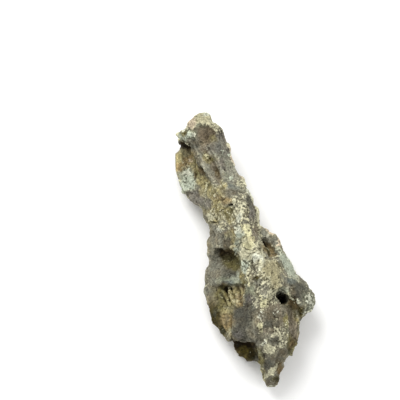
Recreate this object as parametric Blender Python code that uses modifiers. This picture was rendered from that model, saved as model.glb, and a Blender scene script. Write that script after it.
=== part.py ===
"""Dragon stone: one long, hollowed, ridged stone that lies on its flattened back.

The stone is shaped on a plan of its broad face: a runs across the face, b runs from the tip towards
the head, and z is the height above the ground. All of these are in millimetres. The broad face looks
up and a little towards the tip, so place() leans every level of the stone before it is built.
"""

import math

import bmesh
import bpy
import numpy as np
from mathutils import Matrix, Vector, noise
from mathutils.geometry import delaunay_2d_cdt, intersect_point_line

MM = 0.001
FACE_TILT = math.radians(15)
VOXEL_MM = 1.3
TRIANGLES = 8900

# The bowls that water has worn into the stone: their size, how much longer than wide they are, and
# their depth on the face, on the walls and on the crusted back.
BIG_BOWLS = {"size": 21, "stretch": 1.5, "face": 1.0, "wall": 7.0, "crust": 0.0}
SMALL_BOWLS = {"size": 8, "stretch": 1.7, "face": 0.8, "wall": 3.0, "crust": 1.2}
BOWL_RIM = 0.75
GRAIN = {"size": 8, "face": 0.5, "crust": 0.5}
CRUST_REACH = 18

# The widest line round the stone, anticlockwise from the hook below the head: (a, b, z).
OUTLINE = [
    (-64, 100.3, 41), (-60.5, 96.8, 34), (-58, 92.8, 21), (-59, 88, 20), (-61, 83, 22),
    (-61.7, 75, 22),
    (-61.5, 66, 22), (-59.5, 58, 22), (-55, 51.5, 22), (-50.5, 46, 22), (-46, 41, 22),
    (-41.5, 36.5, 22), (-37.5, 35.5, 22), (-38, 31, 22), (-35, 27.5, 22), (-32.5, 22, 22),
    (-31, 15, 22), (-33, 6, 20), (-34, -4, 20), (-34.5, -16, 20), (-35, -28, 18),
    (-36, -38, 18), (-35.5, -47, 18), (-33, -53, 18), (-30.5, -59, 18), (-27.2, -65.8, 18),
    (-22.7, -70.6, 20), (-17.1, -74.6, 22), (-12.6, -79.6, 20), (-12, -85.2, 15), (-10.3, -90.3, 13),
    (-7.5, -94.3, 12), (-3, -96, 12), (4, -97.3, 13), (10.5, -99.8, 15), (13.5, -104.5, 17),
    (15.5, -111, 15), (18.8, -117.2, 13), (22, -119.2, 12), (26, -118.6, 12), (28.4, -115, 13),
    (30, -109, 15), (32, -103, 18), (33.8, -97, 20), (37, -93.3, 22), (41, -90.5, 20),
    (42.5, -85, 24), (44.3, -79, 27), (46.3, -73, 30), (46, -67, 32), (47.3, -61.5, 32),
    (51, -58, 30), (55.8, -54, 28), (60, -50.2, 26), (62.2, -46, 26), (61.8, -41, 26),
    (59.5, -36, 26), (56.5, -31, 26), (53.5, -26.5, 26), (48.5, -24, 26), (44, -20, 26),
    (43, -13.8, 26), (40, -8.3, 27), (37, -2.3, 28), (33, 2.6, 30), (30.3, 7, 32),
    (28.3, 12, 34), (24.5, 15, 37), (20, 17.2, 38), (15.5, 19.7, 38), (11.2, 21.5, 36),
    (11.6, 28, 38), (11.3, 34.5, 40), (8.5, 37.5, 42), (7, 42, 42), (5, 47.5, 42),
    (1, 54.5, 42), (-1.5, 60.5, 42), (-6, 68, 42), (-10, 75.5, 42), (-13, 82.5, 42),
    (-13, 88, 43), (-15.5, 94.5, 43), (-18, 100, 43), (-19, 106.5, 42), (-23, 110, 40),
    (-29, 114.5, 38), (-32, 121.5, 36), (-35.5, 123, 34), (-42, 121.8, 34),
    (-47.6, 117, 35), (-50.8, 111.8, 37), (-49.7, 106.8, 40), (-54.5, 108.3, 40), (-59.5, 104.5, 40),
]

# The lines that the broad face bends along: crests, brinks and the feet below them.
FACE_LINES = {
    "head rim": [(-46.5, 107, 48), (-43, 110, 52), (-38, 111, 54), (-33, 110.8, 54),
                 (-29, 108.5, 53), (-25, 106, 52), (-22, 103, 51)],
    "dish head": [(-42, 106.6, 49.5), (-37.5, 107.4, 49), (-32.5, 107, 49), (-28, 104.6, 49)],
    "head dish": [(-38, 103, 48.3), (-33, 101.5, 47.8), (-29, 101.5, 48.3)],
    "dish lip": [(-41, 99, 50), (-37, 96.5, 50), (-32, 95.5, 50), (-27, 97, 51)],
    "hook crest": [(-57, 100.5, 42), (-53, 103.5, 45), (-49, 103, 47)],
    "hook brink": [(-56.5, 97.6, 41), (-51, 95.2, 43), (-47.5, 92.5, 44), (-44.5, 88, 44),
                   (-42.3, 84.5, 44)],
    "hook dip": [(-46.6, 99.5, 42.5), (-44.8, 96, 41.5), (-43.2, 92.5, 42)],
    "hook foot": [(-56.5, 94.5, 20), (-51.5, 93, 17), (-48.5, 90.5, 17), (-46, 87, 20),
                  (-43.8, 83, 24)],
    "cheek floor": [(-56.5, 87, 18), (-52, 82, 18), (-51, 74, 20), (-51, 66, 23), (-50, 58, 25),
                    (-47, 53, 26)],
    "cheek rim": [(-59.3, 84, 23), (-60, 75, 25), (-59.5, 66, 26), (-57.5, 59, 26),
                  (-53, 53, 26)],
    "rib crest": [(-41.5, 84, 45), (-39.5, 79, 46), (-37.5, 75, 46), (-33.5, 69.5, 46),
                  (-30, 64.5, 46), (-27, 59, 47), (-24.5, 54, 49), (-21, 49, 52)],
    "rib foot": [(-43, 80, 26), (-41.5, 74, 24), (-39, 69, 23), (-36, 65, 25), (-34, 60, 31),
                 (-31, 55, 38), (-27, 50.5, 45)],
    "cheek rib": [(-43.8, 70, 27), (-42.2, 64, 29), (-42.5, 58, 30)],
    "olive flank": [(-38, 60, 27), (-37, 54, 32), (-33, 48, 38)],
    "groove": [(-31, 83, 43), (-27.8, 78.5, 40.5), (-25.6, 73, 40), (-23.6, 67, 41.5),
               (-21.8, 61, 44.5), (-20.6, 56.5, 47)],
    "slab brink": [(-30, 86, 47.5), (-26, 79.5, 48), (-23.5, 73.5, 49), (-21.3, 67, 50),
                   (-19.3, 61, 51), (-17, 55, 53)],
    "neck": [(-40, 92, 48), (-36, 90, 48), (-32, 90, 48)],
    "slab": [(-22, 98, 49.5), (-20, 90, 48)],
    "violet flank": [(-48, 46, 26), (-42, 42, 27), (-36, 40, 31)],
    "plate brink": [(-25, 32.2, 45), (-20, 35.2, 50), (-16.5, 38.2, 53), (-12.5, 41, 56)],
    "crack": [(-24.3, 30.8, 44), (-19.3, 33.7, 48.5), (-15.3, 36.6, 51), (-12, 39.3, 53.5)],
    "lower dish": [(-17, 30, 47), (-13, 28, 49)],
    "lower dish lip": [(-20, 22.5, 47), (-15.5, 22, 50), (-11.5, 23.5, 53), (-8.5, 27.5, 56),
                       (-6.5, 31.5, 58)],
    "crust crest": [(-10, 46, 57), (-5, 41, 60), (-3, 35, 61), (-3, 29, 62), (-2, 23, 62),
                    (1, 17, 63), (3, 10, 63.5), (7, 3, 64), (12, -5, 64), (14, -15, 65),
                    (15, -25, 65), (16, -35, 65), (17, -45, 64), (18, -55, 63), (20, -65, 61),
                    (22, -75, 58), (24, -85, 53), (24, -93, 47), (23, -101, 40),
                    (23, -108, 32), (23.5, -114, 25)],
    "right shoulder": [(-1, 47, 55), (1.5, 41, 58), (2.5, 35, 58), (2.5, 29, 60), (4, 24, 60),
                       (6, 18, 60), (8.5, 12, 59), (12.5, 8, 57), (16.5, 3.5, 57),
                       (18.5, -1, 57), (20.5, -5.5, 57)],
    "left knobs": [(-35, 31, 30), (-32.5, 26, 30), (-30, 21, 30)],
    "tan facet": [(-17, 19, 46), (-10, 19, 52)],
    "tan facet foot": [(-17, 13, 43), (-9, 12.5, 51)],
    "upper left flank": [(-25, 13, 36), (-26, 4, 33)],
    "scoop brink": [(-29, -3, 30), (-19, 1.5, 38), (-13, 0.5, 42), (-8, -1.5, 47),
                    (-5, -7, 50), (-3, -12, 52), (-2.5, -18, 53)],
    "scoop foot": [(-28, -8, 21), (-19, -3.5, 22), (-13, -4.5, 24), (-9, -7.5, 27),
                   (-7.5, -12, 30), (-6.5, -16, 34)],
    "scoop floor": [(-27, -13, 21), (-19, -12, 22), (-12, -13, 25), (-8.3, -15, 30)],
    "mint ledge": [(-25, -20, 29), (-17, -19.5, 32), (-10, -19, 34), (-5, -19.5, 38)],
    "ledge brink": [(-27, -28.5, 32), (-18, -29.8, 37), (-11, -30, 40), (-4.5, -28.8, 44)],
    "ledge foot": [(-27, -32, 24), (-20, -32.6, 25), (-14, -32.4, 28), (-8, -31.8, 33),
                   (-3.5, -30.6, 38)],
    "first flute": [(-22, -34.8, 25), (-21, -40, 28), (-20, -47, 31)],
    "second flute": [(-16.5, -34.8, 28), (-15.5, -40, 31), (-14, -48, 35)],
    "third flute": [(-11.5, -34.8, 31), (-10, -41, 35), (-9, -47, 39)],
    "fourth flute": [(-6.5, -34.2, 36), (-5.5, -39, 39), (-5, -44, 43)],
    "first furrow": [(-26, -35, 22), (-25.5, -45, 24)],
    "second furrow": [(-19.2, -35, 24), (-18, -45, 27)],
    "third furrow": [(-13.7, -35, 27), (-12.2, -45, 30)],
    "fourth furrow": [(-8.6, -35, 31), (-7.4, -43, 34)],
    "fifth furrow": [(-3.6, -34, 33), (-3, -39, 36)],
    "flute brink": [(-0.5, -26, 50), (-0.3, -31, 49), (0.5, -38, 50), (-1, -45, 50),
                    (-5, -49, 48)],
    "plate brink left": [(-25.8, -54, 30), (-22.3, -61, 33), (-19.3, -67.5, 33), (-17.3, -72.6, 30)],
    "plate head": [(-23, -51.5, 34), (-18, -53.5, 37), (-12.5, -52, 42)],
    "plate": [(-13.5, -61, 41), (-13.8, -69, 40), (-14.8, -75.5, 36)],
    "shield edge": [(-11, -56, 48), (-11.7, -64, 49), (-11.7, -71, 47), (-10.7, -74.8, 44),
                    (-4, -77.4, 45), (1, -78.4, 46), (6, -77.8, 47), (10, -77.2, 48),
                    (11.5, -86, 44), (12.5, -92, 36), (13.5, -98, 30), (14.5, -103, 26)],
    "shield": [(-4, -56, 54), (3, -52, 57)],
    "shield low": [(-3, -70, 53), (5, -66, 55)],
    "shield foot": [(-9.4, -78.8, 16), (-3.5, -79.6, 11), (1.5, -80.6, 10), (6, -80.1, 11),
                    (10, -85, 15), (11, -93, 14), (12, -98, 15)],
    "recess": [(-5, -88, 10), (2, -91, 10), (7.5, -92.5, 11)],
    "left shoulder": [(2, -20, 60), (3, -30, 58), (5, -40, 58), (8, -48, 59)],
    "cleft foot": [(14.5, 9, 40), (17.5, 4.5, 35), (20.5, 0, 35.5), (23.5, -5, 43)],
    "cleft wall": [(18, 10, 39.5), (22, 6, 36.5), (25.3, 1, 37), (27, -5, 45)],
    "slit": [(12.3, 18.5, 38), (12.8, 15, 35), (13.2, 12, 35)],
    "wing facet": [(15.5, 16, 41), (20, 13.5, 42), (25, 11, 41)],
    "wing crest": [(27.5, 8, 42), (28.5, 3, 44), (28.8, -3, 47), (29, -9, 49),
                   (30.5, -15, 51), (32, -20, 51), (37, -23, 48), (43, -29, 47),
                   (48, -35, 46), (52, -41, 44), (54, -47, 41), (52.5, -53, 37)],
    "saddle": [(24, -9, 54), (25, -16, 57), (26, -24, 59), (27, -31, 58)],
    "lobe brink": [(33, -35, 50), (38, -37.3, 49), (43, -40.5, 48), (46, -45, 46),
                   (48, -50, 42), (49, -55, 37)],
    "hole rim": [(25.2, -35.6, 54), (24.3, -43, 54), (28.8, -49.2, 53), (36, -53, 55), (37, -60, 55),
                 (37.3, -68, 53), (37.5, -76, 50), (37.5, -84, 45), (36.5, -91, 38)],
    "hole": [(30.5, -39.2, 44), (33.6, -40.2, 40), (32.4, -44.8, 42)],
    "channel": [(41, -41, 40), (42.7, -47, 36), (42, -54, 33), (41.6, -62, 34),
                (41.4, -70, 33), (40.6, -78, 30), (38.9, -86, 28)],
    "channel foot": [(38, -50, 33), (39, -56, 35), (39.3, -63, 37), (39.3, -70, 36),
                     (39.3, -78, 33), (38, -87, 30)],
    "blade": [(45, -60, 40), (44.4, -67, 39), (44.4, -73, 37), (42.6, -80, 32),
              (40.4, -87, 26)],
    "tip flank": [(32.5, -96, 31), (29.5, -104, 30), (27.5, -110, 25)],
}

# Where the stone meets the ground, and the dents left in that face: (a, b, z).
FOOT = [
    (-54, 92, -2), (-57, 77, -2), (-55, 64, -2), (-46, 50, -2), (-33, 38, -2), (-26, 22, -2),
    (-25, 6, -2), (-27, -12, -2), (-28, -32, -2), (-26, -48, -2), (-19, -64, -2), (-9, -80, -2),
    (-1, -92, -2), (11, -95, -2), (18, -105, -2), (24, -110, -2), (30, -97, -2), (37, -80, -2),
    (39, -62, -2), (49, -50, -2), (53, -42, -2), (45, -28, -2), (35, -14, -2), (25, 2, -2),
    (9, 12, -2), (2, 30, -2), (-5, 50, -2), (-14, 68, -2), (-21, 86, -2), (-28, 102, -2),
    (-38, 108, -2), (-49, 101, -2),
]
FOOT_DENTS = {
    "head dent": [(-36, 72, 5), (-30, 60, 6)],
    "middle dent": [(-8, 12, 5), (-4, -8, 7), (2, -22, 5)],
    "tip dent": [(14, -62, 4), (20, -78, 5)],
}

# Undercuts and deep holes: centre (a, b, z), radii (a, b, z), then turns about x, y and z in degrees.
HOLLOWS = {
    "hook hollow": ((-52, 89.5, 27), (7.5, 6.5, 10), (0, 0, -30)),
    "scoop hollow": ((-17, -5, 28), (10, 7, 8), (0, 0, -15)),
    "ledge hollow": ((-16, -33.1, 28), (9, 3.2, 5), (0, 0, 0)),
    "shield hollow": ((0, -82, 24), (10, 6.4, 12), (0, 0, -6)),
    "cleft hollow": ((16.8, 5.4, 40), (3.3, 5.2, 8), (0, 0, 35)),
    "deep hole": ((30.3, -41, 38), (6.7, 6.9, 27), (0, 3, 0)),
    "deep hole foot": ((31.4, -41.2, 2), (9, 10, 15), (0, 0, 0)),
    "slit hollow": ((12.9, 15.5, 40), (1.5, 4.5, 7), (0, 0, 5)),
    "upper right hollow": ((-6, 66, 17), (11, 19, 11), (0, 8, 22)),
    "right pocket": ((11, 37, 13), (10, 10, 8), (0, 0, 20)),
    "head end hollow": ((-30, 118, 14), (15, 10, 10), (0, 20, -20)),
    "wing hollow": ((43, -12, 11), (10, 15, 9), (0, 0, 35)),
    "lobe pocket": ((61, -38, 9), (9, 11, 8), (0, 0, -10)),
    "lower right hollow": ((47, -76, 13), (10, 17, 10), (0, 0, -12)),
    "tip pocket": ((34, -106, 9), (8, 10, 7), (0, 0, -15)),
    "cheek pocket": ((-66, 64, 6), (9, 15, 9), (0, 0, -8)),
    "left pocket": ((-33, 8, 9), (11, 14, 9), (0, 0, 5)),
    "low left pocket": ((-35, -44, 5), (9, 12, 8), (0, 0, 5)),
    "low pocket": ((-16, -84, 3), (9, 7, 6), (0, 0, -35)),
}


def clear_scene():
    for obj in list(bpy.data.objects):
        bpy.data.objects.remove(obj)


def new_collection(name):
    collection = bpy.data.collections.new(name)
    bpy.context.scene.collection.children.link(collection)
    return collection


def place(a, b, z):
    """A point of the plan, in millimetres, as a point of the stone in metres."""
    return Vector((a, b / math.cos(FACE_TILT) - z * math.tan(FACE_TILT), z)) * MM


def sheet(outline, lines):
    """The surface that spans the outline and bends along the lines, as (spots, triangles)."""
    spots = list(outline)
    edges = []
    for line in lines.values():
        first = len(spots)
        spots.extend(line)
        edges.extend((first + i, first + i + 1) for i in range(len(line) - 1))
    plan = [Vector(spot[:2]) for spot in spots]
    border = [range(len(outline))]
    _, _, triangles, sources, _, _ = delaunay_2d_cdt(plan, edges, border, 1, 1e-4)
    return [spots[source[0]] for source in sources], triangles


def block_mesh():
    """The stone's main form: its broad face and its underside, which meet along the outline."""
    mesh = bmesh.new()
    face = sheet(OUTLINE, FACE_LINES)
    underside = sheet(OUTLINE, {"foot": FOOT + FOOT[:1], **FOOT_DENTS})
    for spots, triangles in (face, underside):
        corners = [mesh.verts.new(place(*spot)) for spot in spots]
        for triangle in triangles:
            mesh.faces.new([corners[i] for i in triangle])
    bmesh.ops.remove_doubles(mesh, verts=mesh.verts, dist=0.05 * MM)
    bmesh.ops.recalc_face_normals(mesh, faces=mesh.faces)
    data = bpy.data.meshes.new("block")
    mesh.to_mesh(data)
    mesh.free()
    return data


def hollow_cutter(name, centre, radii, turns):
    mesh = bmesh.new()
    bmesh.ops.create_icosphere(mesh, subdivisions=4, radius=MM)
    mesh.transform(Matrix.Diagonal((*radii, 1)))
    data = bpy.data.meshes.new(name)
    mesh.to_mesh(data)
    mesh.free()
    cutter = bpy.data.objects.new(name, data)
    cutter.location = place(*centre)
    cutter.rotation_euler = [math.radians(turn) for turn in turns]
    cutter.hide_render = True
    cutter.display_type = "WIRE"
    return cutter


def even_out(obj):
    remesh = obj.modifiers.new("even", "REMESH")
    remesh.mode = "VOXEL"
    remesh.voxel_size = VOXEL_MM * MM


def apply_modifiers(obj):
    graph = bpy.context.evaluated_depsgraph_get()
    data = bpy.data.meshes.new_from_object(obj.evaluated_get(graph))
    obj.modifiers.clear()
    obj.data = data


def drop_crumbs(data):
    """Keeps the largest piece of the mesh and drops what the hollows leave loose."""
    mesh = bmesh.new()
    mesh.from_mesh(data)
    left = set(mesh.verts)
    pieces = []
    while left:
        reached = [left.pop()]
        for vertex in reached:
            near = {edge.other_vert(vertex) for edge in vertex.link_edges} & left
            left -= near
            reached.extend(near)
        pieces.append(reached)
    pieces.sort(key=len)
    for piece in pieces[:-1]:
        bmesh.ops.delete(mesh, geom=piece, context="VERTS")
    mesh.to_mesh(data)
    mesh.free()


def bowl(point, size, stretch):
    """0 in the middle of a bowl, 1 on the rims between bowls."""
    at = Vector((point.x, point.y / stretch, point.z)) / (size * MM)
    nearest, second = noise.voronoi(at)[0][:2]
    return (nearest / second) ** 2 if second else 0.0


def on_crust(point):
    """1 on the crusted back of the stone, down to 0 away from it."""
    crest = [place(*spot) for spot in FACE_LINES["crust crest"]]
    reach = CRUST_REACH * MM
    nearest = reach
    for start, end in zip(crest, crest[1:]):
        spot, along = intersect_point_line(point, start, end)
        if 0 <= along <= 1:
            nearest = min(nearest, (point - spot).length)
    return 1 - nearest / reach


def weather(data):
    """Wears bowls with sharp rims into the surface, deepest on the walls, and roughens it."""
    normals = [vertex.normal.copy() for vertex in data.vertices]
    for vertex, normal in zip(data.vertices, normals):
        wall = min(1.0, max(0.0, (0.5 - normal.z) / 0.8))
        crust = on_crust(vertex.co)
        out = noise.fractal(vertex.co / (GRAIN["size"] * MM), 0.9, 2.1, 4)
        out *= GRAIN["face"] + GRAIN["crust"] * crust
        for bowls in (BIG_BOWLS, SMALL_BOWLS):
            depth = bowls["face"] + bowls["wall"] * wall + bowls["crust"] * crust
            out += depth * (bowl(vertex.co, bowls["size"], bowls["stretch"]) - BOWL_RIM)
        vertex.co += normal * out * MM


def cut_at_ground(data):
    """Cuts the stone off flat at the ground and moves the origin to the middle of its underside."""
    mesh = bmesh.new()
    mesh.from_mesh(data)
    everything = mesh.verts[:] + mesh.edges[:] + mesh.faces[:]
    cut = bmesh.ops.bisect_plane(
        mesh, geom=everything, plane_co=(0, 0, 0), plane_no=(0, 0, 1), clear_inner=True
    )
    rim = [part for part in cut["geom_cut"] if isinstance(part, bmesh.types.BMEdge)]
    bmesh.ops.triangle_fill(mesh, use_beauty=True, edges=rim, normal=(0, 0, -1))
    bmesh.ops.recalc_face_normals(mesh, faces=mesh.faces)
    spots = np.array([vertex.co for vertex in mesh.verts])
    middle = Vector((spots.min(axis=0) + spots.max(axis=0)) / 2)
    middle.z = spots[:, 2].min()
    mesh.transform(Matrix.Translation(-middle))
    mesh.to_mesh(data)
    mesh.free()


def stone_material():
    material = bpy.data.materials.new("weathered_stone")
    material.use_nodes = True
    shader = material.node_tree.nodes["Principled BSDF"]
    shader.inputs["Base Color"].default_value = (0.30, 0.28, 0.20, 1)
    shader.inputs["Roughness"].default_value = 0.85
    shader.inputs["Metallic"].default_value = 0
    return material


def main():
    clear_scene()
    parts = new_collection("dragon_stone")
    cutters = new_collection("cutters")
    stone = bpy.data.objects.new("dragon_stone", block_mesh())
    parts.objects.link(stone)

    even_out(stone)
    for name, (centre, radii, turns) in HOLLOWS.items():
        cutter = hollow_cutter(name, centre, radii, turns)
        cutters.objects.link(cutter)
        cut = stone.modifiers.new(name, "BOOLEAN")
        cut.operation = "DIFFERENCE"
        cut.object = cutter
    even_out(stone)
    apply_modifiers(stone)
    drop_crumbs(stone.data)

    weather(stone.data)
    even_out(stone)
    apply_modifiers(stone)
    drop_crumbs(stone.data)

    stone.data.calc_loop_triangles()
    fewer = stone.modifiers.new("fewer", "DECIMATE")
    fewer.ratio = TRIANGLES / len(stone.data.loop_triangles)
    apply_modifiers(stone)
    cut_at_ground(stone.data)
    stone.data.materials.append(stone_material())


main()
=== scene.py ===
# A long dragon stone that lies on its back: hardened clay and silt, worn by water into ridges,
# scoops and holes, with a pale crust left on whatever stands proud.
import math
import bmesh
import bpy
import numpy as np
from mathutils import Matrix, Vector, noise


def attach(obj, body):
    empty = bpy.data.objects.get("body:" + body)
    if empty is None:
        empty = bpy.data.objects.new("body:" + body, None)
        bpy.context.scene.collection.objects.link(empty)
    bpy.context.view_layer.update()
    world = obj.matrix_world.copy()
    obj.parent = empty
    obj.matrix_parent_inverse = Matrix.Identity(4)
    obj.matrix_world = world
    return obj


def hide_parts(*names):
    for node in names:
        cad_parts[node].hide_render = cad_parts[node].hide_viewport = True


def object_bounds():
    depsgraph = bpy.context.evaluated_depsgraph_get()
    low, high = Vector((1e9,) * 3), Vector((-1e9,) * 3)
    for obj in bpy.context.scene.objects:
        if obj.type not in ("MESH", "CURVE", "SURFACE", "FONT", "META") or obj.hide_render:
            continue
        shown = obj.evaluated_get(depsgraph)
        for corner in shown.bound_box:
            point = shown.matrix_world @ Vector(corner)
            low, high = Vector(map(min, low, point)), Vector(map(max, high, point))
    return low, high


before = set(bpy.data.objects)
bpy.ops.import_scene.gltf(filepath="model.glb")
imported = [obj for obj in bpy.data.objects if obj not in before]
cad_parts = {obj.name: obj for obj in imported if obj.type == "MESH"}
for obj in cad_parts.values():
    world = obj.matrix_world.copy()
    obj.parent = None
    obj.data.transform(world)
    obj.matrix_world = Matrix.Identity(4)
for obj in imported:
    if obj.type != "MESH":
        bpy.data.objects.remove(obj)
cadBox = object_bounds()
print("frame: box", [[round(c, 4) for c in corner] for corner in cadBox])

mm = 0.001
perMm = 1 / mm


def linearColour(hexCode):
    channels = [int(hexCode[i:i + 2], 16) / 255 for i in (1, 3, 5)]
    return [c / 12.92 if c <= 0.04045 else ((c + 0.055) / 1.055) ** 2.4 for c in channels]


def addNode(tree, kind, inputs=None, **settings):
    # An input is given as a value, as a socket to link, or as a node whose first output is linked.
    node = tree.nodes.new(kind)
    for name, value in settings.items():
        setattr(node, name, value)
    for key, value in (inputs or {}).items():
        if isinstance(value, bpy.types.Node):
            value = value.outputs[0]
        if isinstance(value, bpy.types.NodeSocket):
            tree.links.new(value, node.inputs[key])
        else:
            node.inputs[key].default_value = value
    return node


# Camera, floor and light: a soft key from the upper left and a weaker fill from the right.
studio = {
    "aim": (-0.0394, 0.0411, 0.035),   # metres: what the middle of the view looks at
    "azimuth": 0, "elevation": 75,     # degrees
    "width": 0.352,                    # metres across the view at the aim
    "lens": 200, "sensor": 36,         # mm
    "floor": "#FBFBFA", "floorRoughness": 0.9,
    "floorHalf": 3.0,                  # metres from its middle to an edge
    "sky": "#FFFFFF", "skyStrength": 0.7,
    "lamps": {                         # place in metres, size in metres, watts
        "key": ((-0.5, 0.8, 1.4), 0.9, 20),
        "fill": ((0.9, -0.5, 1.3), 1.2, 6),
    },
}


def turnTowards(obj, spot):
    away = Vector(obj.location) - Vector(spot)
    obj.rotation_euler = away.to_track_quat("Z", "Y").to_euler()


def buildStudio():
    scene = bpy.context.scene
    scene.view_settings.view_transform = "Standard"
    azimuth = math.radians(studio["azimuth"])
    elevation = math.radians(studio["elevation"])
    back = Vector((
        math.sin(azimuth) * math.cos(elevation),
        -math.cos(azimuth) * math.cos(elevation),
        math.sin(elevation),
    ))
    camera = bpy.data.objects.new("camera", bpy.data.cameras.new("camera"))
    camera.data.lens = studio["lens"]
    camera.data.sensor_width = studio["sensor"]
    distance = studio["width"] * studio["lens"] / studio["sensor"]
    camera.location = Vector(studio["aim"]) + back * distance
    turnTowards(camera, studio["aim"])
    scene.collection.objects.link(camera)
    scene.camera = camera

    world = bpy.data.worlds.new("paleStudio")
    world.use_nodes = True
    sky = world.node_tree.nodes["Background"]
    sky.inputs["Color"].default_value = linearColour(studio["sky"]) + [1]
    sky.inputs["Strength"].default_value = studio["skyStrength"]
    scene.world = world
    for name, (place, size, power) in studio["lamps"].items():
        lamp = bpy.data.objects.new(name, bpy.data.lights.new(name, "AREA"))
        lamp.data.size = size
        lamp.data.energy = power
        lamp.location = place
        turnTowards(lamp, (0, 0, 0))
        scene.collection.objects.link(lamp)

    mesh = bmesh.new()
    bmesh.ops.create_grid(mesh, x_segments=1, y_segments=1, size=studio["floorHalf"])
    data = bpy.data.meshes.new("floor")
    mesh.to_mesh(data)
    mesh.free()
    floor = bpy.data.objects.new("floor", data)
    scene.collection.objects.link(floor)
    paper = bpy.data.materials.new("paperSweep")   # matt paper: even, no gloss
    paper.use_nodes = True
    shader = paper.node_tree.nodes["Principled BSDF"]
    shader.inputs["Base Color"].default_value = linearColour(studio["floor"]) + [1]
    shader.inputs["Roughness"].default_value = studio["floorRoughness"]
    data.materials.append(paper)


buildStudio()
print("studio: camera, floor and lamps")


# The plan is the stone's broad face seen square on, in mm: a runs across it, and b runs from the
# tip to the head. The face leans, so a point's height moves it along b.
facePlan = {"tilt": math.radians(15), "originA": -0.1, "originB": -4.95}

# The stone's surface, from the solid. Sizes are in mm.
surfaceSizes = {
    "merge": 0.001,                     # points of the solid that are one
    "voxel": 0.91,                      # between points
    "soften": 3,                        # rounds of smoothing, which take the solid's facets off
    "wander": 2.0, "wanderSize": 7.0,   # how far the edges of stains stray
    "fray": 0.8, "fraySize": 2.0,       # and how far they stray in fine
    "seamShare": 0.4,                   # seams stray less than stains do
    "faceEdge": (-0.3, 0),              # cosines at which the face's own stains start and are full
    "driftOnFace": 0.25,                # what the face keeps of the stains that drift
    "crustMean": 0.12, "crustSwing": 0.28, "crustSize": 14, "crustShift": 41,   # between the patches
    "crackDepth": 1.2,                  # a crack this deep is full of dirt
    "ribCrust": 0.75,                   # crust on a raised line
    "grainLean": 25,                    # degrees, towards the head
    "grainStraight": 10, "grainLeaning": 50,   # where along b it starts to lean, and leans fully
    "grainStretch": 3.5,                # how much longer than wide the grain is
}


def placeToPlan(points):
    x, y, z = (points / mm).T
    y = y + facePlan["originB"]
    b = (y + z * math.tan(facePlan["tilt"])) * math.cos(facePlan["tilt"])
    return x + facePlan["originA"], b


def makeSurface():
    mesh = bmesh.new()
    mesh.from_mesh(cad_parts["dragon_stone"].data)
    bmesh.ops.remove_doubles(mesh, verts=mesh.verts, dist=surfaceSizes["merge"] * mm)
    data = bpy.data.meshes.new("stoneSurface")
    mesh.to_mesh(data)
    mesh.free()
    obj = bpy.data.objects.new("stoneSurface", data)
    bpy.context.scene.collection.objects.link(obj)
    rounded = obj.modifiers.new("rounded", "SUBSURF")
    rounded.levels = rounded.render_levels = 1
    even = obj.modifiers.new("even", "REMESH")
    even.mode = "VOXEL"
    even.voxel_size = surfaceSizes["voxel"] * mm
    soft = obj.modifiers.new("soft", "SMOOTH")
    soft.iterations = surfaceSizes["soften"]
    return applied(obj)


def applied(obj):
    # The modifiers' result as a plain mesh, with the modifiers gone.
    graph = bpy.context.evaluated_depsgraph_get()
    data = bpy.data.meshes.new_from_object(obj.evaluated_get(graph))
    obj.modifiers.clear()
    obj.data = data
    return obj


def vertexArray(data, name):
    values = np.empty(len(data.vertices) * 3, np.float32)
    data.vertices.foreach_get(name, values)
    return values.reshape(-1, 3).astype(float)


def setAttribute(data, name, values, kind="FLOAT", key="value"):
    layer = data.attributes.new(name, kind, "POINT")
    layer.data.foreach_set(key, np.ascontiguousarray(values, np.float32).ravel())


def noiseField(points, size, octaves, shift):
    # Smooth random values from about -1 to 1, alike within size mm.
    scaled = points / (size * mm) + shift
    return np.array([noise.fractal(Vector(p), 1.0, 2.0, octaves) for p in scaled])


def smoothStep(low, high, values):
    t = np.clip((values - low) / (high - low), 0, 1)
    return t * t * (3 - 2 * t)


# What the stone is made of, and the shade painted into its recesses. Each stain: its colour, and how
# much it folds, pits and lumps (0 to 1).
stains = {
    "slate": ("#8D8A79", 0.30, 0.05, 0.4),
    "ash": ("#A19E8C", 0.30, 0.05, 0.4),
    "violetSlate": ("#827D71", 0.15, 0.05, 0.3),
    "lilacSlate": ("#6E6A62", 0.15, 0.05, 0.25),
    "shieldSlate": ("#56544A", 0.02, 0.04, 0.15),
    "darkSlate": ("#605E52", 0.05, 0.08, 0.25),
    "blueSlate": ("#7B8178", 0.05, 0.05, 0.2),
    "taupe": ("#928874", 0.10, 0.05, 0.3),
    "dusk": ("#7A6E5A", 0.15, 0.0, 0.2),
    "greenGrey": ("#868A74", 0.20, 0.08, 0.3),
    "mint": ("#A9AE99", 0.15, 0.05, 0.3),
    "paleMint": ("#B2B6A0", 0.05, 0.0, 0.1),
    "khaki": ("#A0966A", 0.95, 0.10, 0.6),
    "bowlOlive": ("#7B744A", 0.10, 0.0, 0.12),
    "olive": ("#79724A", 0.50, 0.08, 0.4),
    "mossOlive": ("#7C7038", 0.40, 0.08, 0.4),
    # The next tone is dark olive stone, and is also shade painted on walls turned from the light and in
    # recesses.
    "darkOliveAndShade": ("#463F1F", 0.30, 0.08, 0.3),
    "tan": ("#A08D64", 0.40, 0.10, 0.4),
    "sand": ("#A9A17C", 0.20, 0.10, 0.3),
    "straw": ("#B6AB7C", 0.50, 0.10, 0.5),
    "earth": ("#6E6756", 0.15, 0.08, 0.3),
    "brown": ("#746445", 0.25, 0.08, 0.3),
    # The next tone is painted shade: dark brown put in recesses and under overhangs, where shade falls.
    "paintedShadeBrown": ("#302413", 0.25, 0.08, 0.3),
}

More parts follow.
